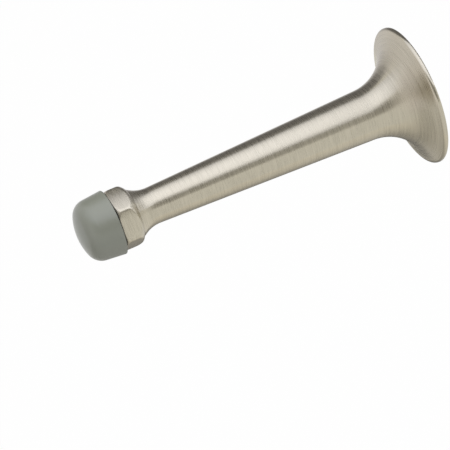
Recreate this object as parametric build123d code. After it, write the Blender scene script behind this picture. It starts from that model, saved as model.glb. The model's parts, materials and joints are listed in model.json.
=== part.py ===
import os
from math import atan, copysign, pi, radians, sqrt, tan

from build123d import *

# Baseboard door bumper: a one-piece turned metal stop with a trumpet base, and a moulded rubber tip plugged into its end.
# Millimetres. The origin is the middle of the back face, +Y runs into the wall, the stem stands out along -Y, +Z is up.
# A reach is a distance out from the wall, so a point at a reach lies at y = -reach.

# Whole bumper
projection = 97.0  # wall to the front of the rubber
tip_length = 9.85  # rubber in front of the collar

# Trumpet base
base_diameter = 38.1
rim_thickness = 1.05
rim_chamfer = 0.2
face_angle = 17.0  # slope of the front face, degrees from the wall
flare_radius = 13.8  # hollow sweep from the front face into the stem

# Tapered stem
stem_root_diameter = 14.88  # stem cone carried on to the wall
stem_neck_diameter = 9.1  # stem cone carried on to the collar's widest ring
neck_radius = 8.3  # hollow sweep from the stem into the shoulder
shoulder_angle = 31.0  # slope of the shoulder behind the collar, degrees from the axis

# Collar, a round bead that meets the shoulder in a crease and has six wrench flats
collar_diameter = 17.2  # widest ring of the bead, before the flats are cut
crease_diameter = 13.2
bead_radius = 3.8
nose_drop = 0.78  # the bead's front end lies this far inside the widest ring
nose_chamfer = 0.2  # from the bead's front end to the seat of the rubber
flats_width = 14.8  # across opposite flats, two of which face up and down
flats_edge_radius = 1.1  # rounded edge between two flats

# Hollowed back
land_width = 3.0  # ring of the rim that bears on the wall
boss_diameter = 15.0  # middle that bears on the wall
relief_depth = 0.6

# Tapped hole for the fixing screw, a 10-24 thread
tap_drill_diameter = 3.8
thread_depth = 12.7
thread_chamfer = 0.8
drill_point_angle = 118.0

# Rubber tip
tip_diameter = 17.46  # at its back edge
tip_chamfer = 0.3
tip_draft = 5.5  # degrees
tip_corner_radius = 4.1
dome_radius = 15.5

# Plug that holds the tip, with a ring that snaps into a groove in the bore
plug_diameter = 7.0
plug_length = 5.5
plug_lead = 0.6  # chamfer on the plug's end
ring_height = 0.6
ring_width = 2.2
ring_setback = 2.6  # seat to the middle of the ring
plug_clearance = 0.1
bore_chamfer = 0.4

# Most of a straight run that a sweep at its end may take
sweep_share = 0.98

# Sizes that follow
base_radius = base_diameter / 2
seat_reach = projection - tip_length
bead_centre_radius = collar_diameter / 2 - bead_radius
nose_radius = collar_diameter / 2 - nose_drop
nose_reach = seat_reach - nose_chamfer
bead_reach = nose_reach - sqrt(bead_radius**2 - (bead_radius - nose_drop) ** 2)
crease_radius = crease_diameter / 2
crease_reach = bead_reach - sqrt(bead_radius**2 - (crease_radius - bead_centre_radius) ** 2)
face_slope = tan(radians(face_angle))
shoulder_slope = tan(radians(shoulder_angle))
stem_slope = (stem_root_diameter - stem_neck_diameter) / 2 / bead_reach
draft_slope = tan(radians(tip_draft))
tip_radius = tip_diameter / 2
plug_radius = plug_diameter / 2


def at(radius, reach):
    return Vector(radius, -reach)


def turned(*outline):
    return revolve(make_face(outline), Axis.Y)


def rounded(section, corner, radius):
    return fillet(section.vertices().sort_by_distance(corner)[0], radius)


def bevelled(section, corner, length):
    return chamfer(section.vertices().sort_by_distance(corner)[0], length)


def drilled(radius, mouth, floor, bevel, groove=()):
    # A hole from its mouth to its floor, with a drill's point beyond and a 45 degree bevel at the mouth
    inward = copysign(1, floor - mouth)
    point = radius / tan(radians(drill_point_angle / 2))
    corners = [
        at(0, mouth),
        at(radius + bevel, mouth),
        at(radius, mouth + inward * bevel),
        *groove,
        at(radius, floor),
        at(0, floor + inward * point),
    ]
    return turned(Polyline(*corners, close=True))


def stem_radius(reach):
    return stem_root_diameter / 2 - stem_slope * reach


def flare_corner():
    # Where the front face and the stem would meet without the sweep between them
    rise = rim_thickness + face_slope * (base_radius - stem_radius(0))
    reach = rise / (1 - face_slope * stem_slope)
    return at(stem_radius(reach), reach)


def neck_corner():
    # Where the stem and the shoulder would meet without the sweep between them
    rise = stem_radius(0) - crease_radius + shoulder_slope * crease_reach
    reach = rise / (shoulder_slope + stem_slope)
    return at(stem_radius(reach), reach)


def sweep_radius(radius, turn, room):
    # The radius, or less where the straight run beside the corner has no room for it
    return min(radius, sweep_share * room / tan(turn / 2))


def tip_shoulder():
    # Where the drafted side would run into the domed front, a straight line into a circle
    dome_reach = projection - dome_radius
    offset = tip_radius + draft_slope * (seat_reach - dome_reach)
    spread = 1 + draft_slope**2
    ahead = (sqrt(spread * dome_radius**2 - offset**2) + draft_slope * offset) / spread
    return at(offset - draft_slope * ahead, dome_reach + ahead)


def body_blank():
    rim_back = at(base_radius, 0)
    rim_front = at(base_radius, rim_thickness)
    flare = flare_corner()
    neck = neck_corner()
    crease = at(crease_radius, crease_reach)
    nose = at(nose_radius, nose_reach)
    section = make_face([
        Polyline(at(0, 0), rim_back, rim_front, flare, neck, crease),
        ThreePointArc(crease, at(collar_diameter / 2, bead_reach), nose),
        Polyline(nose, at(nose_radius - nose_chamfer, seat_reach), at(0, seat_reach), at(0, 0)),
    ])
    flare_turn = pi / 2 - radians(face_angle) - atan(stem_slope)
    face_room = (rim_front - flare).length - rim_chamfer
    section = rounded(section, flare, sweep_radius(flare_radius, flare_turn, face_room))
    neck_turn = radians(shoulder_angle) + atan(stem_slope)
    section = rounded(section, neck, sweep_radius(neck_radius, neck_turn, (crease - neck).length))
    section = bevelled(section, rim_front, rim_chamfer)
    section = bevelled(section, rim_back, rim_chamfer)
    return revolve(section, Axis.Y)


def wrench_flats():
    # What lies outside a hexagon with rounded corners, from the crease to past the seat
    hexagon = RegularPolygon(flats_width / 2, 6, major_radius=False)
    hexagon = fillet(hexagon.vertices(), flats_edge_radius)
    start = Plane(origin=(0, -crease_reach, 0), x_dir=(1, 0, 0), z_dir=(0, -1, 0))
    return extrude(start * (Circle(collar_diameter) - hexagon), projection - crease_reach)


def back_relief():
    inner = boss_diameter / 2
    outer = base_radius - land_width
    corners = [at(inner, 0), at(outer, 0), at(outer, relief_depth), at(inner, relief_depth)]
    return turned(Polyline(*corners, close=True))


def ring_corners(gap):
    # The retaining ring at no gap, or the groove that clears it by the gap
    foot = plug_radius + gap
    crest = foot + ring_height
    front = seat_reach - ring_setback + ring_width / 2 + gap
    back = seat_reach - ring_setback - ring_width / 2 - gap
    return [at(foot, front), at(crest, front - ring_height), at(crest, back + ring_height), at(foot, back)]


def tip_bore():
    floor = seat_reach - plug_length - plug_clearance
    return drilled(plug_radius + plug_clearance, seat_reach, floor, bore_chamfer, ring_corners(plug_clearance))


def bumper_body():
    fixing_hole = drilled(tap_drill_diameter / 2, 0, thread_depth, thread_chamfer)
    return body_blank() - wrench_flats() - back_relief() - fixing_hole - tip_bore()


def tip_dome():
    back_edge = at(tip_radius, seat_reach)
    shoulder = tip_shoulder()
    front = at(0, projection)
    section = make_face([
        Polyline(front, at(0, seat_reach), back_edge, shoulder),
        RadiusArc(shoulder, front, dome_radius),
    ])
    section = rounded(section, shoulder, tip_corner_radius)
    section = bevelled(section, back_edge, tip_chamfer)
    return revolve(section, Axis.Y)


def tip_plug():
    end = seat_reach - plug_length
    corners = [
        at(0, seat_reach),
        at(plug_radius, seat_reach),
        *ring_corners(0),
        at(plug_radius, end + plug_lead),
        at(plug_radius - plug_lead, end),
        at(0, end),
    ]
    return turned(Polyline(*corners, close=True))


def rubber_tip():
    return tip_dome() + tip_plug()


os.makedirs("parts", exist_ok=True)
export_step(bumper_body(), "parts/bumper_body.step")
export_step(rubber_tip(), "parts/rubber_tip.step")
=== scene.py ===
import json
from math import ceil, cos, pi, radians, sin, sqrt, tan

import bmesh
import bpy
from mathutils import Matrix, Vector


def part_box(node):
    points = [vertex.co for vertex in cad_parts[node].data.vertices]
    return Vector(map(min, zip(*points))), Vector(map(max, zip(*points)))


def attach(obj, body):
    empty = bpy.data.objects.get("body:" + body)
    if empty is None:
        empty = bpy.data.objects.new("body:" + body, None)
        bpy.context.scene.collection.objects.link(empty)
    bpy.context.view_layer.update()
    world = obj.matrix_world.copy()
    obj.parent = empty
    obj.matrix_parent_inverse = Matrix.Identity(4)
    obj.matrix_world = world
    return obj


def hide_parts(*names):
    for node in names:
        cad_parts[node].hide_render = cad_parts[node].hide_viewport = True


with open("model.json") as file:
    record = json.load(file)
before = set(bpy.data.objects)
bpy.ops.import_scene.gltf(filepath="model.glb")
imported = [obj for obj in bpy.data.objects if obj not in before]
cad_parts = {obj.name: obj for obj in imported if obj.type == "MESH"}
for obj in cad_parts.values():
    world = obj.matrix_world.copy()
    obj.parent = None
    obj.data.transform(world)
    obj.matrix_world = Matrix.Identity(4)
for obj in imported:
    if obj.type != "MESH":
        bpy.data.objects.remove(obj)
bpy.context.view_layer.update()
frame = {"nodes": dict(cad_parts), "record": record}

mm = 0.001  # the sizes below are in millimetres, the scene is in metres
print("frame loaded:", ", ".join(sorted(frame["nodes"])))


# small helpers

def addNode(tree, kind, inputs=None, **settings):
    node = tree.nodes.new(kind)
    for name, value in settings.items():
        setattr(node, name, value)
    for key, value in (inputs or {}).items():
        if isinstance(value, bpy.types.NodeSocket):
            tree.links.new(value, node.inputs[key])
        else:
            node.inputs[key].default_value = value
    return node


def doMath(tree, operation, *values):
    return addNode(tree, "ShaderNodeMath", dict(enumerate(values)), operation=operation).outputs[0]


def lineMeetsCircle(start, along, centre, radius):
    # the further of the two places where a line crosses a circle
    offset = start - centre
    half = offset.dot(along)
    return start + along * (sqrt(half**2 - offset.length_squared + radius**2) - half)


def linesMeet(start, along, other, otherAlong):
    across = Vector((-otherAlong.y, otherAlong.x))
    return start + along * ((other - start).dot(across) / along.dot(across))


def squareTo(direction):
    return Vector((-direction.y, direction.x)).normalized()


# lathe: rounds the corners of an outline (x is radius, y is reach), then turns it about the Y axis

def buildLathe():
    tree = bpy.data.node_groups.new("turnOnLathe", "GeometryNodeTree")
    face = tree.interface
    face.new_socket("Outline", in_out="INPUT", socket_type="NodeSocketGeometry")
    face.new_socket("Facets Around", in_out="INPUT", socket_type="NodeSocketInt")
    for name in ("Thread Bore", "Thread Pitch", "Thread Height", "Thread End", "Thread Fade",
                 "Flats Width", "Flats Start", "Nose End", "Nose Round", "Nose Inside"):
        face.new_socket(name, in_out="INPUT", socket_type="NodeSocketFloat")
    face.new_socket("Finish", in_out="INPUT", socket_type="NodeSocketMaterial")
    face.new_socket("Piece", in_out="OUTPUT", socket_type="NodeSocketGeometry")
    given = addNode(tree, "NodeGroupInput").outputs

    def readAttribute(name, kind):
        return addNode(tree, "GeometryNodeInputNamedAttribute", {"Name": name}, data_type=kind).outputs[0]

    # corners become arcs, and long straight runs are cut into rows
    curve = addNode(tree, "GeometryNodeMeshToCurve", {"Mesh": given["Outline"]}).outputs[0]
    rounded = addNode(tree, "GeometryNodeFilletCurve", {
        "Curve": curve,
        "Radius": readAttribute("rounding", "FLOAT"),
        "Count": readAttribute("arcSteps", "INT"),
    }, mode="POLY").outputs[0]
    index = addNode(tree, "GeometryNodeInputIndex").outputs[0]
    position = addNode(tree, "GeometryNodeInputPosition").outputs[0]
    following = doMath(tree, "ADD", index, 1)
    rowLength = readAttribute("rowLength", "FLOAT")
    nextRow = addNode(tree, "GeometryNodeFieldAtIndex", {"Index": following, "Value": rowLength},
                      data_type="FLOAT").outputs[0]
    nextPlace = addNode(tree, "GeometryNodeFieldAtIndex", {"Index": following, "Value": position},
                        data_type="FLOAT_VECTOR").outputs[0]
    runLength = addNode(tree, "ShaderNodeVectorMath", {0: position, 1: nextPlace},
                        operation="DISTANCE").outputs["Value"]
    rows = doMath(tree, "DIVIDE", runLength, doMath(tree, "MAXIMUM", rowLength, nextRow))
    profile = addNode(tree, "GeometryNodeSubdivideCurve", {
        "Curve": rounded,
        "Cuts": doMath(tree, "FLOOR", rows),
    }).outputs[0]

    # one grid column for each facet, one grid row for each profile point
    size = addNode(tree, "GeometryNodeAttributeDomainSize", {0: profile},
                   component="CURVE").outputs["Point Count"]
    grid = addNode(tree, "GeometryNodeMeshGrid", {
        "Vertices X": doMath(tree, "ADD", given["Facets Around"], 1),
        "Vertices Y": size,
    }).outputs["Mesh"]
    row = doMath(tree, "MODULO", index, size)
    column = doMath(tree, "FLOOR", doMath(tree, "DIVIDE", doMath(tree, "ADD", index, 0.5), size))
    sample = addNode(tree, "GeometryNodeSampleIndex", {"Geometry": profile, "Value": position, "Index": row},
                     data_type="FLOAT_VECTOR", domain="POINT").outputs[0]
    split = addNode(tree, "ShaderNodeSeparateXYZ", {0: sample}).outputs
    radius, reach = split["X"], split["Y"]
    even = doMath(tree, "DIVIDE", column, given["Facets Around"])
    flatsAngle = 2 * pi * flatsShape["count"]
    crowding = doMath(tree, "SINE", doMath(tree, "MULTIPLY", even, flatsAngle))
    turn = doMath(tree, "MULTIPLY_ADD", crowding, -flatsShape["crowding"] / flatsAngle, even)

    # right-hand thread: V grooves cut outwards from the bore, fading at their end
    pitches = doMath(tree, "DIVIDE", reach, given["Thread Pitch"])
    phase = doMath(tree, "FRACT", doMath(tree, "SUBTRACT", pitches, turn))
    wave = doMath(tree, "ABSOLUTE", doMath(tree, "MULTIPLY_ADD", phase, 2.0, -1.0))
    groove = addNode(tree, "ShaderNodeMapRange", {
        "Value": wave,
        "From Min": threadShape["crestFlat"],
        "From Max": 1.0 - threadShape["rootFlat"],
        "To Max": given["Thread Height"],
    }).outputs[0]
    left = doMath(tree, "SUBTRACT", given["Thread End"], reach)
    fade = addNode(tree, "ShaderNodeMapRange", {"Value": left, "From Max": given["Thread Fade"]}).outputs[0]
    threaded = doMath(tree, "ADD", given["Thread Bore"], doMath(tree, "MULTIPLY", groove, fade))
    inThread = doMath(tree, "GREATER_THAN", left, 0.0)
    radius = doMath(tree, "MAXIMUM", radius, doMath(tree, "MULTIPLY", threaded, inThread))

    # wrench flats, slightly crowned: the columns above crowd towards the edges between them
    halfFlat = pi / flatsShape["count"]
    share = doMath(tree, "FRACT", doMath(tree, "MULTIPLY", turn, flatsShape["count"]))
    aside = doMath(tree, "ABSOLUTE", doMath(tree, "MULTIPLY_ADD", share, 2 * halfFlat, -halfFlat))
    flat = doMath(tree, "MULTIPLY", given["Flats Width"], 0.5)
    crown = flatsShape["crown"] * mm
    edgeFall = crown + flatsShape["drop"] * mm

    def flatRadius(angle):
        plane = doMath(tree, "DIVIDE", flat, doMath(tree, "COSINE", angle))
        offset = doMath(tree, "DIVIDE", doMath(tree, "TANGENT", angle), tan(halfFlat))
        lift = doMath(tree, "MULTIPLY_ADD", doMath(tree, "POWER", offset, 2.0), -edgeFall, crown)
        return doMath(tree, "ADD", plane, lift)

    nextFlat = doMath(tree, "SUBTRACT", 2 * halfFlat, aside)
    hexRadius = doMath(tree, "SMOOTH_MIN", flatRadius(aside), flatRadius(nextFlat), flatsShape["edge"] * mm)
    behind = doMath(tree, "LESS_THAN", reach, given["Flats Start"])  # a metre more, so no flats there
    limit = doMath(tree, "ADD", hexRadius, behind)
    radius = doMath(tree, "SMOOTH_MIN", radius, limit, flatsShape["softness"] * mm)

    # front end of the collar, rounded over flats and edges alike
    roundStart = doMath(tree, "SUBTRACT", given["Nose End"], given["Nose Round"])
    past = doMath(tree, "MAXIMUM", doMath(tree, "SUBTRACT", reach, roundStart), 0.0)
    roundSize = doMath(tree, "MAXIMUM", given["Nose Round"], latheSizes["leastRound"] * mm)
    roundShare = doMath(tree, "DIVIDE", past, roundSize)
    under = doMath(tree, "SUBTRACT", 1.0, doMath(tree, "POWER", roundShare, 2.0))
    arc = doMath(tree, "SQRT", doMath(tree, "MAXIMUM", under, 0.0))
    fall = doMath(tree, "MULTIPLY", given["Nose Round"], doMath(tree, "SUBTRACT", 1.0, arc))
    outside = doMath(tree, "GREATER_THAN", radius, given["Nose Inside"])
    radius = doMath(tree, "SUBTRACT", radius, doMath(tree, "MULTIPLY", fall, outside))

    angle = doMath(tree, "MULTIPLY", turn, 2 * pi)
    place = addNode(tree, "ShaderNodeCombineXYZ", {
        "X": doMath(tree, "MULTIPLY", radius, doMath(tree, "COSINE", angle)),
        "Y": doMath(tree, "MULTIPLY", reach, -1.0),
        "Z": doMath(tree, "MULTIPLY", radius, doMath(tree, "SINE", angle)),
    }).outputs[0]
    turned = addNode(tree, "GeometryNodeSetPosition", {"Geometry": grid, "Position": place}).outputs[0]
    closed = addNode(tree, "GeometryNodeMergeByDistance", {
        "Geometry": turned,
        "Distance": latheSizes["weld"] * mm,
    }).outputs[0]
    whole = addNode(tree, "GeometryNodeRealizeInstances", {"Geometry": closed}).outputs[0]
    finished = addNode(tree, "GeometryNodeSetMaterial", {
        "Geometry": whole,
        "Material": given["Finish"],
    }).outputs[0]
    addNode(tree, "NodeGroupOutput", {"Piece": finished})
    return tree


def drawOutline(name, corners):
    # a corner has a radius and a reach, and may have a rounding, the steps of its arc and the rows beside it
    mesh = bpy.data.meshes.new(name)
    spots = [(corner["at"][0] * mm, corner["at"][1] * mm, 0.0) for corner in corners]
    mesh.from_pydata(spots, [(i, i + 1) for i in range(len(spots) - 1)], [])
    columns = {
        "rounding": ("FLOAT", [corner.get("round", 0.0) * mm for corner in corners]),
        "arcSteps": ("INT", [corner.get("steps", 1) for corner in corners]),
        "rowLength": ("FLOAT", [corner.get("row", latheSizes["row"]) * mm for corner in corners]),
    }
    for column, (kind, values) in columns.items():
        mesh.attributes.new(column, kind, "POINT").data.foreach_set("value", values)
    piece = bpy.data.objects.new(name, mesh)
    bpy.context.scene.collection.objects.link(piece)
    return piece


def turnPiece(name, corners, facets, finish, extras=None):
    piece = drawOutline(name, corners)
    lathe = piece.modifiers.new("lathe", "NODES")
    lathe.node_group = latheTree
    sizes = {**plainSizes, **(extras or {}), "Facets Around": facets, "Finish": finish}
    for socket in latheTree.interface.items_tree:
        if socket.in_out == "INPUT" and socket.name in sizes:
            lathe[socket.identifier] = sizes[socket.name]
    evaluated = piece.evaluated_get(bpy.context.evaluated_depsgraph_get())
    turned = bpy.data.meshes.new_from_object(evaluated)
    piece.modifiers.remove(lathe)
    piece.data = turned
    shell = bmesh.new()
    shell.from_mesh(turned)
    bmesh.ops.remove_doubles(shell, verts=shell.verts, dist=latheSizes["weld"] * mm / 2)
    bmesh.ops.recalc_face_normals(shell, faces=shell.faces)
    for facet in shell.faces:
        facet.smooth = True
    shell.to_mesh(turned)
    shell.free()
    turned.set_sharp_from_angle(angle=radians(latheSizes["sharpAngle"]))
    print("turned", name, "with", len(turned.polygons), "faces")
    return piece


latheSizes = {
    "row": 2.0,  # mm, longest row of a straight run
    "weld": 0.002,  # mm, points nearer than this become one
    "leastRound": 0.001,  # mm
    "sharpAngle": 28.0,
}
plainSizes = {"Thread Pitch": 1.0, "Flats Width": 1.0, "Flats Start": 1.0}  # metres, for a piece without them
threadShape = {"crestFlat": 0.25, "rootFlat": 0.125}  # shares of half a pitch
flatsShape = {
    "count": 6,
    "crowding": 0.7,  # 0 spreads the columns evenly
    "crown": 0.22,  # mm, the middle of a flat above its plane
    "drop": 0.07,  # mm, the edge between two flats below its sharp corner
    "edge": 0.6,  # mm, width that rounds this edge
    "softness": 0.25,  # mm, the same where a flat runs out on the bead
}
latheTree = buildLathe()


# satin nickel: metal with fine brushing round the axis

nickelLook = {
    "light": (0.575, 0.531, 0.421),
    "dark": (0.458, 0.423, 0.335),
    "toneRange": (0.3, 0.7),  # noise of the lines that gives dark and light
    "roughness": 0.285,
    "roughnessSpread": 0.05,
    "roughnessRange": (0.25, 0.75),  # noise that gives least and most roughness
    "anisotropy": 0.95,
    "lineDensity": 2600.0,  # brush lines, per metre
    "lineLength": 1.2,  # higher is shorter
    "lineDetail": 2.0,
    "lineBreak": 0.6,  # weight of the finer lines
    "bump": 0.08,
    "bumpDepth": 0.02,  # mm
    "rimRoughness": 0.2,
    "rimRadius": (18.2, 18.75),  # mm, where the rim's polish starts and where it is full
}


def turnedCoordinates(tree):
    place = addNode(tree, "ShaderNodeTexCoord").outputs["Object"]
    split = addNode(tree, "ShaderNodeSeparateXYZ", {0: place}).outputs
    flat = addNode(tree, "ShaderNodeCombineXYZ", {"X": split["X"], "Z": split["Z"]}).outputs[0]
    radius = addNode(tree, "ShaderNodeVectorMath", {0: flat}, operation="LENGTH").outputs["Value"]
    around = addNode(tree, "ShaderNodeVectorMath", {0: flat}, operation="NORMALIZE").outputs["Vector"]
    spin = addNode(tree, "ShaderNodeSeparateXYZ", {0: around}).outputs
    return radius, split["Y"], spin["X"], spin["Z"]


# painted shade round the axis: the base colour is darkened at the seam between collar and rubber, and at the
# crease behind the collar, where shade falls

seamShadingLook = {"core": 0.1, "spread": 0.3, "shade": 0.22, "shift": 0.1}  # mm, but for the shade
creaseShadingLook = {"core": 0.05, "spread": 0.35, "shade": 0.88}


# painted shade: the colour is darkened in a narrow band at one reach along the axis
def paintedJointShade(tree, place, look):
    away = doMath(tree, "ABSOLUTE", doMath(tree, "SUBTRACT", turnedCoordinates(tree)[1], place))
    return addNode(tree, "ShaderNodeMapRange", {
        "Value": away,
        "From Min": look["core"] * mm,
        "From Max": look["spread"] * mm,
        "To Min": look["shade"],
    }).outputs[0]


def paintedSeamShade(tree):
    return paintedJointShade(tree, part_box("bumper_body")[0].y + seamShadingLook["shift"] * mm, seamShadingLook)


def shadeColour(tree, colour, shade):
    return addNode(tree, "ShaderNodeVectorMath", {0: colour, 3: shade}, operation="SCALE").outputs[0]


def brushLines(tree, look):
    radius, reach, across, up = turnedCoordinates(tree)
    vector = addNode(tree, "ShaderNodeCombineXYZ", {
        "X": doMath(tree, "MULTIPLY", radius, look["lineDensity"]),
        "Y": doMath(tree, "MULTIPLY", reach, look["lineDensity"]),
        "Z": doMath(tree, "MULTIPLY", across, look["lineLength"]),
    }).outputs[0]
    return addNode(tree, "ShaderNodeTexNoise", {
        "Vector": vector,
        "W": doMath(tree, "MULTIPLY", up, look["lineLength"]),
        "Scale": 1.0,
        "Detail": look["lineDetail"],
        "Roughness": look["lineBreak"],
    }, noise_dimensions="4D").outputs[0]


def satinNickel():
    look = nickelLook
    material = bpy.data.materials.new("satinNickel")
    material.use_nodes = True
    tree = material.node_tree
    shader = tree.nodes["Principled BSDF"]
    lines = brushLines(tree, look)
    contrast = addNode(tree, "ShaderNodeMapRange", {
        "Value": lines,
        "From Min": look["toneRange"][0],
        "From Max": look["toneRange"][1],
    }).outputs[0]
    colour = addNode(tree, "ShaderNodeMix", {
        "Factor": contrast,
        "A": (*look["dark"], 1.0),
        "B": (*look["light"], 1.0),
    }, data_type="RGBA").outputs[2]
    rough = addNode(tree, "ShaderNodeMapRange", {
        "Value": lines,
        "From Min": look["roughnessRange"][0],
        "From Max": look["roughnessRange"][1],
        "To Min": look["roughness"] - look["roughnessSpread"],
        "To Max": look["roughness"] + look["roughnessSpread"],
    }).outputs[0]
    rimRough = addNode(tree, "ShaderNodeMapRange", {
        "Value": turnedCoordinates(tree)[0],
        "From Min": look["rimRadius"][0] * mm,
        "From Max": look["rimRadius"][1] * mm,
        "To Min": rough,
        "To Max": look["rimRoughness"],
    }).outputs[0]
    # painted shade in the seam and in the crease behind the collar, multiplied into the base colour
    paintedCreaseShade = paintedJointShade(tree, -bodySizes["flatsStart"] * mm, creaseShadingLook)
    paintedShade = doMath(tree, "MULTIPLY", paintedSeamShade(tree), paintedCreaseShade)
    tree.links.new(shadeColour(tree, colour, paintedShade), shader.inputs["Base Color"])
    tree.links.new(rimRough, shader.inputs["Roughness"])
    shader.inputs["Metallic"].default_value = 1.0
    shader.inputs["Anisotropic"].default_value = look["anisotropy"]
    shader.inputs["Anisotropic Rotation"].default_value = 0.25  # a quarter turn, so that the lines run round
    tangent = addNode(tree, "ShaderNodeTangent", direction_type="RADIAL", axis="Y").outputs[0]
    tree.links.new(tangent, shader.inputs["Tangent"])
    bump = addNode(tree, "ShaderNodeBump", {
        "Strength": look["bump"],
        "Distance": look["bumpDepth"] * mm,
        "Height": lines,
    }).outputs[0]
    tree.links.new(bump, shader.inputs["Normal"])
    return material


# grey rubber: matt, with a moulded grain

rubberLook = {
    "light": (0.236, 0.246, 0.204),
    "dark": (0.216, 0.226, 0.184),
    "roughness": 0.33,
    "specular": 0.8,
    "sheen": 0.5,
    "sheenRoughness": 0.25,
    "clouds": 160.0,  # per metre
    "cloudDetail": 3.0,
    "grain": 3500.0,  # per metre
    "grainDetail": 1.0,
    "bump": 0.12,
    "bumpDepth": 0.05,  # mm
}


def greyRubber():
    look = rubberLook
    material = bpy.data.materials.new("greyRubber")
    material.use_nodes = True
    tree = material.node_tree
    shader = tree.nodes["Principled BSDF"]
    place = addNode(tree, "ShaderNodeTexCoord").outputs["Object"]

    def noise(scale, detail):
        inputs = {"Vector": place, "Scale": scale, "Detail": detail}
        return addNode(tree, "ShaderNodeTexNoise", inputs).outputs[0]

    colour = addNode(tree, "ShaderNodeMix", {
        "Factor": noise(look["clouds"], look["cloudDetail"]),
        "A": (*look["dark"], 1.0),
        "B": (*look["light"], 1.0),
    }, data_type="RGBA").outputs[2]
    # painted shade at the seam, multiplied into the base colour
    tree.links.new(shadeColour(tree, colour, paintedSeamShade(tree)), shader.inputs["Base Color"])
    shader.inputs["Roughness"].default_value = look["roughness"]
    shader.inputs["Specular IOR Level"].default_value = look["specular"]
    shader.inputs["Sheen Weight"].default_value = look["sheen"]
    shader.inputs["Sheen Roughness"].default_value = look["sheenRoughness"]
    bump = addNode(tree, "ShaderNodeBump", {
        "Strength": look["bump"],
        "Distance": look["bumpDepth"] * mm,
        "Height": noise(look["grain"], look["grainDetail"]),
    }).outputs[0]
    tree.links.new(bump, shader.inputs["Normal"])
    return material


# bumper body: trumpet base, stem and collar, turned as one piece

bodySizes = {
    "rimThickness": 1.12,
    "rimFrontEdge": 0.9,
    "rimBackEdge": 0.22,
    "faceAngle": 17.0,
    "flareRadius": 13.8,
    "stemRootRadius": 7.44,  # stem cone carried on to the wall
    "stemNeckRadius": 4.55,  # stem cone carried on to the collar's widest ring
    "neckRadius": 8.3,
    "shoulderAngle": 31.0,  # from the axis, between neck and bead
    "creaseRadius": 6.6,  # where shoulder and bead meet
    "creaseEdge": 0.22,
    "collarRadius": 8.6,  # widest ring of the bead, before the flats
    "beadRadius": 3.8,
    "beadTurn": 60.0,  # degrees from the widest ring to the end of the bead's arc
    "noseDrop": 0.78,
    "noseChamfer": 0.2,
    "noseEdge": 0.06,
    "noseRound": 0.5,
    "noseInside": 6.0,  # only points outside this radius move with the rounding
    "noseInsideGap": 0.01,  # from there to a corner of the seat on each side
    "flatsWidth": 14.8,
    "flatsStart": 81.3,
    "landWidth": 3.0,
    "bossRadius": 7.5,
    "reliefDepth": 0.6,
    "reliefEdge": 0.15,
    "holeChamfer": 0.8,
    "holeDepth": 12.7,
    "drillAngle": 118.0,
    "boreRadius": 3.6,
    "boreDepth": 5.6,
    "boreChamfer": 0.4,
    "facetsAround": 240,
}
threadSizes = {"pitch": 1.058, "height": 0.51, "end": 11.6, "fade": 1.6, "rowLength": 0.09}  # a 10-24 thread

# ring on the tip's plug, and the groove of the bore that it snaps into
snapRing = {"setback": 2.6, "width": 2.2, "height": 0.6, "clearance": 0.1}


def ringCorners(foot, seat, gap):
    ring = snapRing
    crest = foot + ring["height"]
    front = seat - ring["setback"] + ring["width"] / 2 + gap
    back = seat - ring["setback"] - ring["width"] / 2 - gap
    spots = ((foot, front), (crest, front - ring["height"]), (crest, back + ring["height"]), (foot, back))
    return [{"at": spot} for spot in spots]


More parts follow.
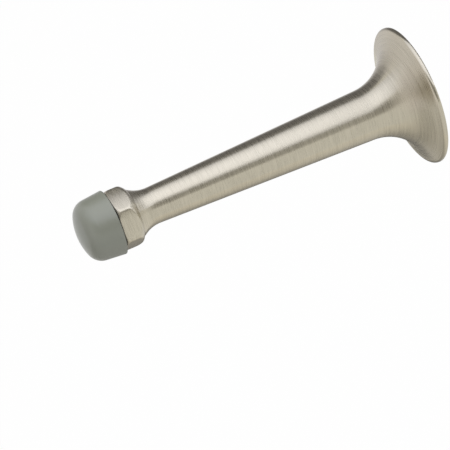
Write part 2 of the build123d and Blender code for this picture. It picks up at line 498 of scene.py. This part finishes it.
def bodyOutline():
    size = bodySizes
    low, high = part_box("bumper_body")
    baseRadius = high.x / mm
    seat = -low.y / mm
    holeRadius = frame["record"]["mounts"][1]["dims"]["r_mm"]
    point = 1 / tan(radians(size["drillAngle"] / 2))
    beadCentre = Vector((size["collarRadius"] - size["beadRadius"], 0))
    nose = Vector((size["collarRadius"] - size["noseDrop"], seat - size["noseChamfer"]))
    beadCentre.y = nose.y - sqrt(size["beadRadius"]**2 - (nose.x - beadCentre.x)**2)

    # front face and stem
    rim = Vector((baseRadius, size["rimThickness"]))
    faceAlong = Vector((-cos(radians(size["faceAngle"])), sin(radians(size["faceAngle"]))))
    stemRoot = Vector((size["stemRootRadius"], 0))
    stemAlong = (Vector((size["stemNeckRadius"], beadCentre.y)) - stemRoot).normalized()
    flare = linesMeet(rim, faceAlong, stemRoot, stemAlong)

    # shoulder behind the collar, and the bead that it runs into
    shoulder = Vector((size["creaseRadius"], 0))
    shoulder.y = beadCentre.y - sqrt(size["beadRadius"]**2 - (shoulder.x - beadCentre.x)**2)
    shoulderAlong = Vector((sin(radians(size["shoulderAngle"])), cos(radians(size["shoulderAngle"]))))
    toBack = Vector((cos(radians(size["beadTurn"])), -sin(radians(size["beadTurn"]))))
    beadBack = beadCentre + toBack * size["beadRadius"]
    neck = linesMeet(shoulder, shoulderAlong, stemRoot, stemAlong)
    crease = linesMeet(shoulder, shoulderAlong, beadBack, squareTo(toBack))
    bead = linesMeet(beadBack, squareTo(toBack), nose, squareTo(nose - beadCentre))

    outer = baseRadius - size["landWidth"]
    edge = {"round": size["reliefEdge"], "steps": 4}
    fine = {"row": threadSizes["rowLength"]}
    floor = seat - size["boreDepth"]
    return [
        {"at": (0, size["holeDepth"] + holeRadius * point)},
        {"at": (holeRadius, size["holeDepth"]), **fine},
        {"at": (holeRadius, size["holeChamfer"]), **fine},
        {"at": (holeRadius + size["holeChamfer"], 0), **fine},
        {"at": (size["bossRadius"], 0), **edge},
        {"at": (size["bossRadius"], size["reliefDepth"]), **edge},
        {"at": (outer, size["reliefDepth"]), **edge},
        {"at": (outer, 0), **edge},
        {"at": (baseRadius, 0), "round": size["rimBackEdge"], "steps": 6},
        {"at": rim, "round": size["rimFrontEdge"], "steps": 8},
        {"at": flare, "round": size["flareRadius"], "steps": 40},
        {"at": neck, "round": size["neckRadius"], "steps": 20},
        {"at": crease, "round": size["creaseEdge"], "steps": 6},
        {"at": bead, "round": size["beadRadius"], "steps": 40},
        {"at": nose, "round": size["noseEdge"], "steps": 3},
        {"at": (nose.x - size["noseChamfer"], seat), "round": size["noseEdge"], "steps": 3},
        {"at": (size["noseInside"] + size["noseInsideGap"], seat)},
        {"at": (size["noseInside"] - size["noseInsideGap"], seat)},
        {"at": (size["boreRadius"] + size["boreChamfer"], seat)},
        {"at": (size["boreRadius"], seat - size["boreChamfer"])},
        *ringCorners(size["boreRadius"], seat, snapRing["clearance"]),
        {"at": (size["boreRadius"], floor)},
        {"at": (0, floor - size["boreRadius"] * point)},
    ]


# rubber tip: domed front, drafted side, plug at the back

tipSizes = {
    "backEdge": 0.15,
    "draft": 5.5,
    "cornerRadius": 4.1,
    "domeRadius": 15.5,
    "sideRadius": 8.73,
    "plugRadius": 3.5,
    "plugLead": 0.6,
    "facetsAround": 160,
}


def tipOutline():
    size = tipSizes
    low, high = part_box("rubber_tip")
    front = -low.y / mm
    plugEnd = -high.y / mm
    seat = -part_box("bumper_body")[0].y / mm
    side = Vector((size["sideRadius"], seat))
    sideAlong = Vector((-sin(radians(size["draft"])), cos(radians(size["draft"]))))
    domeCentre = Vector((0, front - size["domeRadius"]))
    cornerPath = side + squareTo(sideAlong) * size["cornerRadius"]
    inner = size["domeRadius"] - size["cornerRadius"]
    cornerCentre = lineMeetsCircle(cornerPath, sideAlong, domeCentre, inner)
    toCorner = (cornerCentre - domeCentre).normalized()
    touch = domeCentre + toCorner * size["domeRadius"]
    corner = linesMeet(touch, squareTo(toCorner), side, sideAlong)
    dome = linesMeet(touch, squareTo(toCorner), Vector((0, front)), Vector((1, 0)))
    return [
        {"at": (0, plugEnd)},
        {"at": (size["plugRadius"] - size["plugLead"], plugEnd)},
        {"at": (size["plugRadius"], plugEnd + size["plugLead"])},
        *reversed(ringCorners(size["plugRadius"], seat, 0.0)),
        {"at": (size["plugRadius"], seat)},
        {"at": side, "round": size["backEdge"], "steps": 6},
        {"at": corner, "round": size["cornerRadius"], "steps": 32},
        {"at": dome, "round": size["domeRadius"], "steps": 24},
        {"at": (0, front)},
    ]


def makePieces():
    extras = {
        "Thread Bore": frame["record"]["mounts"][1]["dims"]["r_mm"] * mm,
        "Thread Pitch": threadSizes["pitch"] * mm,
        "Thread Height": threadSizes["height"] * mm,
        "Thread End": threadSizes["end"] * mm,
        "Thread Fade": threadSizes["fade"] * mm,
        "Flats Width": bodySizes["flatsWidth"] * mm,
        "Flats Start": bodySizes["flatsStart"] * mm,
        "Nose End": -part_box("bumper_body")[0].y,
        "Nose Round": bodySizes["noseRound"] * mm,
        "Nose Inside": bodySizes["noseInside"] * mm,
    }
    body = turnPiece("bumperBody", bodyOutline(), bodySizes["facetsAround"], satinNickel(), extras)
    tip = turnPiece("rubberTip", tipOutline(), tipSizes["facetsAround"], greyRubber())
    for piece, node, slot in ((body, "bumper_body", "satin_nickel"), (tip, "rubber_tip", "grey_rubber")):
        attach(piece, "root")
        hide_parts(node)


# stage: pale floor and room, both white behind the object

stageLook = {
    "floorDrop": 300.0,
    "floorHalf": 4000.0,
    "floorColour": (0.9, 0.9, 0.9, 1.0),
    "whiteShare": 0.97,  # the rest of the floor is plain and takes the shadow
    "ambient": 0.55,
}


def whiteRays(tree):
    rays = addNode(tree, "ShaderNodeLightPath").outputs
    seen = doMath(tree, "MAXIMUM", rays["Is Camera Ray"], rays["Is Glossy Ray"])
    return doMath(tree, "MAXIMUM", seen, rays["Is Transmission Ray"])


def makeStage():
    look = stageLook
    half = look["floorHalf"] * mm
    drop = -look["floorDrop"] * mm
    mesh = bpy.data.meshes.new("floor")
    mesh.from_pydata([(-half, -half, drop), (half, -half, drop), (half, half, drop), (-half, half, drop)],
                     [], [(0, 1, 2, 3)])
    floor = bpy.data.objects.new("floor", mesh)
    bpy.context.scene.collection.objects.link(floor)
    material = bpy.data.materials.new("paleFloor")
    material.use_nodes = True
    tree = material.node_tree
    tree.nodes.clear()
    plain = addNode(tree, "ShaderNodeBsdfDiffuse", {"Color": look["floorColour"]}).outputs[0]
    white = addNode(tree, "ShaderNodeEmission", {"Color": (1, 1, 1, 1), "Strength": 1.0}).outputs[0]
    share = doMath(tree, "MULTIPLY", whiteRays(tree), look["whiteShare"])
    mixed = addNode(tree, "ShaderNodeMixShader", {0: share, 1: plain, 2: white}).outputs[0]
    addNode(tree, "ShaderNodeOutputMaterial", {"Surface": mixed})
    mesh.materials.append(material)

    world = bpy.data.worlds.new("paleRoom")
    bpy.context.scene.world = world
    world.use_nodes = True
    tree = world.node_tree
    tree.nodes.clear()
    level = addNode(tree, "ShaderNodeMapRange", {
        "Value": whiteRays(tree),
        "To Min": look["ambient"],
    }).outputs[0]
    sky = addNode(tree, "ShaderNodeBackground", {"Color": (1, 1, 1, 1), "Strength": level}).outputs[0]
    addNode(tree, "ShaderNodeOutputWorld", {"Surface": sky})


# light: a large softbox, and ribbons of graded tone around the axis that only reflections see

softbox = {
    "angle": 98.35,
    "distance": 700.0,
    "along": 60.0,
    "wide": 1124.0,
    "long": 1300.0,
    "colour": (1.0, 1.0, 0.97),
    "radiance": 0.8,
}
# a stop is the angle at the strip's front and back end, then the tone at both ends
ribbons = {
    "softFar": {"radius": 460, "span": (150, 1000), "tint": (0.97, 0.99, 1.11), "stops": [
        (48, 42, 1.55, 1.3), (54, 50, 1.75, 1.5), (72, 66, 1.8, 1.6), (92, 84, 1.8, 1.55),
        (108, 97, 1.66, 1.4), (119, 108, 1.4, 1.2), (130, 119, 1.15, 0.95)]},
    "softBack": {"radius": 460, "span": (-20, 150), "tint": (0.97, 0.99, 1.11), "stops": [
        (58, 48, 1.5, 1.55), (63, 54, 1.7, 1.75), (80, 72, 1.76, 1.8), (98, 92, 1.76, 1.8),
        (115, 108, 1.6, 1.66), (126, 119, 1.38, 1.4), (137, 130, 1.15, 1.15)]},
    "softFront": {"radius": 460, "span": (-560, -20), "tint": (0.97, 0.99, 1.11), "stops": [
        (90, 58, 0.95, 1.5), (98, 63, 1.05, 1.7), (108, 80, 1.12, 1.76), (120, 98, 1.12, 1.76),
        (132, 115, 1.05, 1.6), (142, 126, 0.95, 1.38), (152, 137, 0.88, 1.15)]},
    "darkFar": {"radius": 460, "span": (150, 1000), "tint": (1.015, 1.0, 1.04), "stops": [
        (130, 119, 0.2, 0.3), (190, 195, 0.2, 0.3), (203, 212, 0.6, 0.6), (216, 224, 0.85, 0.85)]},
    "darkBack": {"radius": 460, "span": (-20, 150), "tint": (1.015, 1.0, 1.04), "stops": [
        (137, 130, 0.17, 0.2), (186, 190, 0.17, 0.2), (200, 203, 0.5, 0.55),
        (214, 216, 0.74, 0.8), (230, 230, 0.9, 0.9)]},
    "darkFront": {"radius": 460, "span": (-200, -20), "tint": (1.015, 1.0, 1.04), "stops": [
        (158, 137, 0.3, 0.17), (168, 184, 0.3, 0.17), (184, 199, 0.86, 0.5),
        (200, 214, 0.9, 0.74), (230, 230, 0.9, 0.9)]},
    "highFront": {"radius": 470, "span": (-900, -205), "tint": (1.01, 0.995, 1.03), "stops": [
        (100, 158, 0.9, 0.9), (236, 236, 0.9, 0.9)]},
    "gapBack": {"radius": 460, "span": (-20, 150), "tint": (1.03, 1.0, 0.94), "stops": [
        (22, 22, 0.5, 0.5), (29, 28, 0.27, 0.27), (50, 42, 0.26, 0.26), (58, 48, 0.4, 0.4)]},
    "gapFront": {"radius": 460, "span": (-560, -20), "tint": (1.03, 1.0, 0.94), "stops": [
        (40, 22, 0.72, 0.5), (46, 29, 0.52, 0.27), (68, 50, 0.52, 0.23), (90, 58, 0.75, 0.4)]},
    "midSide": {"radius": 460, "span": (-740, 350), "tint": (0.985, 0.985, 0.98), "stops": [
        (-35, -35, 0.94, 0.94), (22, 22, 0.94, 0.94)]},
    "lowBack": {"radius": 280, "span": (-70, 95), "tint": (1.03, 1.0, 0.95), "stops": [
        (-130, -130, 0.22, 0.14), (-118, -118, 0.22, 0.16), (-108, -108, 0.28, 0.32), (-95, -95, 0.36, 0.52),
        (-82, -82, 0.46, 0.66), (-68, -68, 0.66, 0.82), (-50, -50, 0.86, 0.9), (-35, -35, 0.95, 0.95)]},
    "lowFront": {"radius": 280, "span": (-800, -70), "tint": (1.03, 1.0, 0.95), "stops": [
        (-106, -124, 0.9, 0.68), (-100, -114, 0.74, 0.64), (-94, -105, 0.5, 0.51), (-88, -95, 0.42, 0.44),
        (-80, -82, 0.42, 0.52), (-68, -68, 0.55, 0.7), (-50, -50, 0.75, 0.87), (-35, -35, 0.88, 0.95)]},
    "sideGlow": {"radius": 450, "span": (-900, -550), "tint": (1.03, 1.0, 1.0), "stops": [
        (206, 206, 0.9, 0.9), (218, 218, 1.4, 1.3), (236, 234, 1.4, 1.3), (246, 242, 0.95, 0.95)]},
    "frontGlow": {"radius": 450, "span": (-800, -640), "tint": (1.03, 1.0, 1.0), "stops": [
        (-12, -12, 1.0, 0.95), (4, 4, 1.35, 1.1), (56, 56, 1.35, 1.1), (72, 72, 1.0, 1.0)]},
    "behindRim": {"radius": 75, "span": (25, 100), "tint": (1.0, 1.0, 1.0), "stops": [
        (55, 55, 0.1, 0.1), (140, 140, 0.1, 0.1)]},
}
ribbonStep = 3.0  # degrees
frontDisc = {
    "distance": 800.0,
    "radius": 350.0,
    "fade": 200.0,
    "tone": 0.74,
    "tint": (1.02, 0.98, 1.0),
    "glow": 0.3,  # more tone on one side
    "glowAngle": 30.0,
    "glowPower": 4,  # higher is narrower
    "sides": 48,
}


def drawRibbon(name, ribbon):
    # a strip bent round the Y axis, its tone graded from stop to stop
    places, tones = [], []
    for start, end in zip(ribbon["stops"], ribbon["stops"][1:]):
        steps = ceil((end[1] - start[1]) / ribbonStep)
        for step in range(steps + 1):
            stop = Vector(start).lerp(Vector(end), step / steps)
            for along, angle, tone in zip(ribbon["span"], stop[:2], stop[2:]):
                out = Vector((cos(radians(angle)), 0, sin(radians(angle)))) * ribbon["radius"]
                places.append((out + Vector((0, along, 0))) * mm)
                tones.append(tone)
    faces = [(i, i + 1, i + 3, i + 2) for i in range(0, len(places) - 2, 2)]
    drawScreen(name, places, faces, tones, ribbon["tint"])


def drawFrontDisc():
    # a disc ahead of the tip, its tone fading to white at the edge
    disc = frontDisc
    places, tones, faces = [Vector((0, -disc["distance"], 0)) * mm], [disc["tone"]], []
    count = disc["sides"]
    for radius, tone in ((disc["radius"], disc["tone"]), (disc["radius"] + disc["fade"], 1.0)):
        for step in range(count):
            angle = 2 * pi * step / count
            facing = max(0.0, cos(angle - radians(disc["glowAngle"])))
            glow = disc["glow"] * facing**disc["glowPower"]
            places.append(Vector((cos(angle) * radius, -disc["distance"], sin(angle) * radius)) * mm)
            tones.append(tone + glow)
    for step in range(count):
        here, there = 1 + step, 1 + (step + 1) % count
        faces += [(0, here, there), (here, here + count, there + count, there)]
    drawScreen("frontDisc", places, faces, tones, disc["tint"])


def drawScreen(name, places, faces, tones, tint):
    mesh = bpy.data.meshes.new(name)
    mesh.from_pydata(places, [], faces)
    mesh.attributes.new("tone", "FLOAT", "POINT").data.foreach_set("value", tones)
    screen = bpy.data.objects.new(name, mesh)
    bpy.context.scene.collection.objects.link(screen)
    material = bpy.data.materials.new(name)
    material.use_nodes = True
    tree = material.node_tree
    tree.nodes.clear()
    tone = addNode(tree, "ShaderNodeAttribute", attribute_name="tone").outputs["Fac"]
    glow = addNode(tree, "ShaderNodeEmission", {"Color": (*tint, 1), "Strength": tone}).outputs[0]
    addNode(tree, "ShaderNodeOutputMaterial", {"Surface": glow})
    mesh.materials.append(material)
    screen.visible_camera = False
    screen.visible_diffuse = False
    screen.visible_shadow = False


def makeLight():
    box = softbox
    lamp = bpy.data.lights.new("softbox", "AREA")
    lamp.shape = "RECTANGLE"
    lamp.size = box["wide"] * mm
    lamp.size_y = box["long"] * mm
    lamp.color = box["colour"]
    # an area lamp's radiance is a quarter of its watts per area
    lamp.energy = box["radiance"] * 4 * lamp.size * lamp.size_y
    holder = bpy.data.objects.new("softbox", lamp)
    bpy.context.scene.collection.objects.link(holder)
    out = Vector((cos(radians(box["angle"])), 0, sin(radians(box["angle"]))))
    holder.location = out * box["distance"] * mm + Vector((0, box["along"] * mm, 0))
    holder.rotation_euler = out.to_track_quat("Z", "Y").to_euler()
    holder.visible_glossy = False
    for name, ribbon in ribbons.items():
        drawRibbon(name, ribbon)
    drawFrontDisc()


# camera: the photograph's view

cameraSizes = {
    "azimuth": 69.68,
    "elevation": 47.213,
    "roll": -8.154,
    "aim": (6.672, -59.7, -10.518),
    "distance": 580.0,
    "lens": 179.35,
}


def makeCamera():
    size = cameraSizes
    turn, rise, roll = radians(size["azimuth"]), radians(size["elevation"]), radians(size["roll"])
    level = Vector((cos(turn), sin(turn), 0))
    back = Vector((sin(turn) * cos(rise), -cos(turn) * cos(rise), sin(rise)))
    right = level * cos(roll) + back.cross(level) * sin(roll)
    up = back.cross(right)
    lens = bpy.data.cameras.new("camera")
    lens.lens = size["lens"]
    camera = bpy.data.objects.new("camera", lens)
    bpy.context.scene.collection.objects.link(camera)
    place = (Vector(size["aim"]) + back * size["distance"]) * mm
    camera.matrix_world = Matrix.Translation(place) @ Matrix((right, up, back)).transposed().to_4x4()
    bpy.context.scene.camera = camera


makePieces()
makeStage()
makeLight()
makeCamera()
bpy.context.scene.view_settings.view_transform = "Standard"
print("stage, light and camera are set")
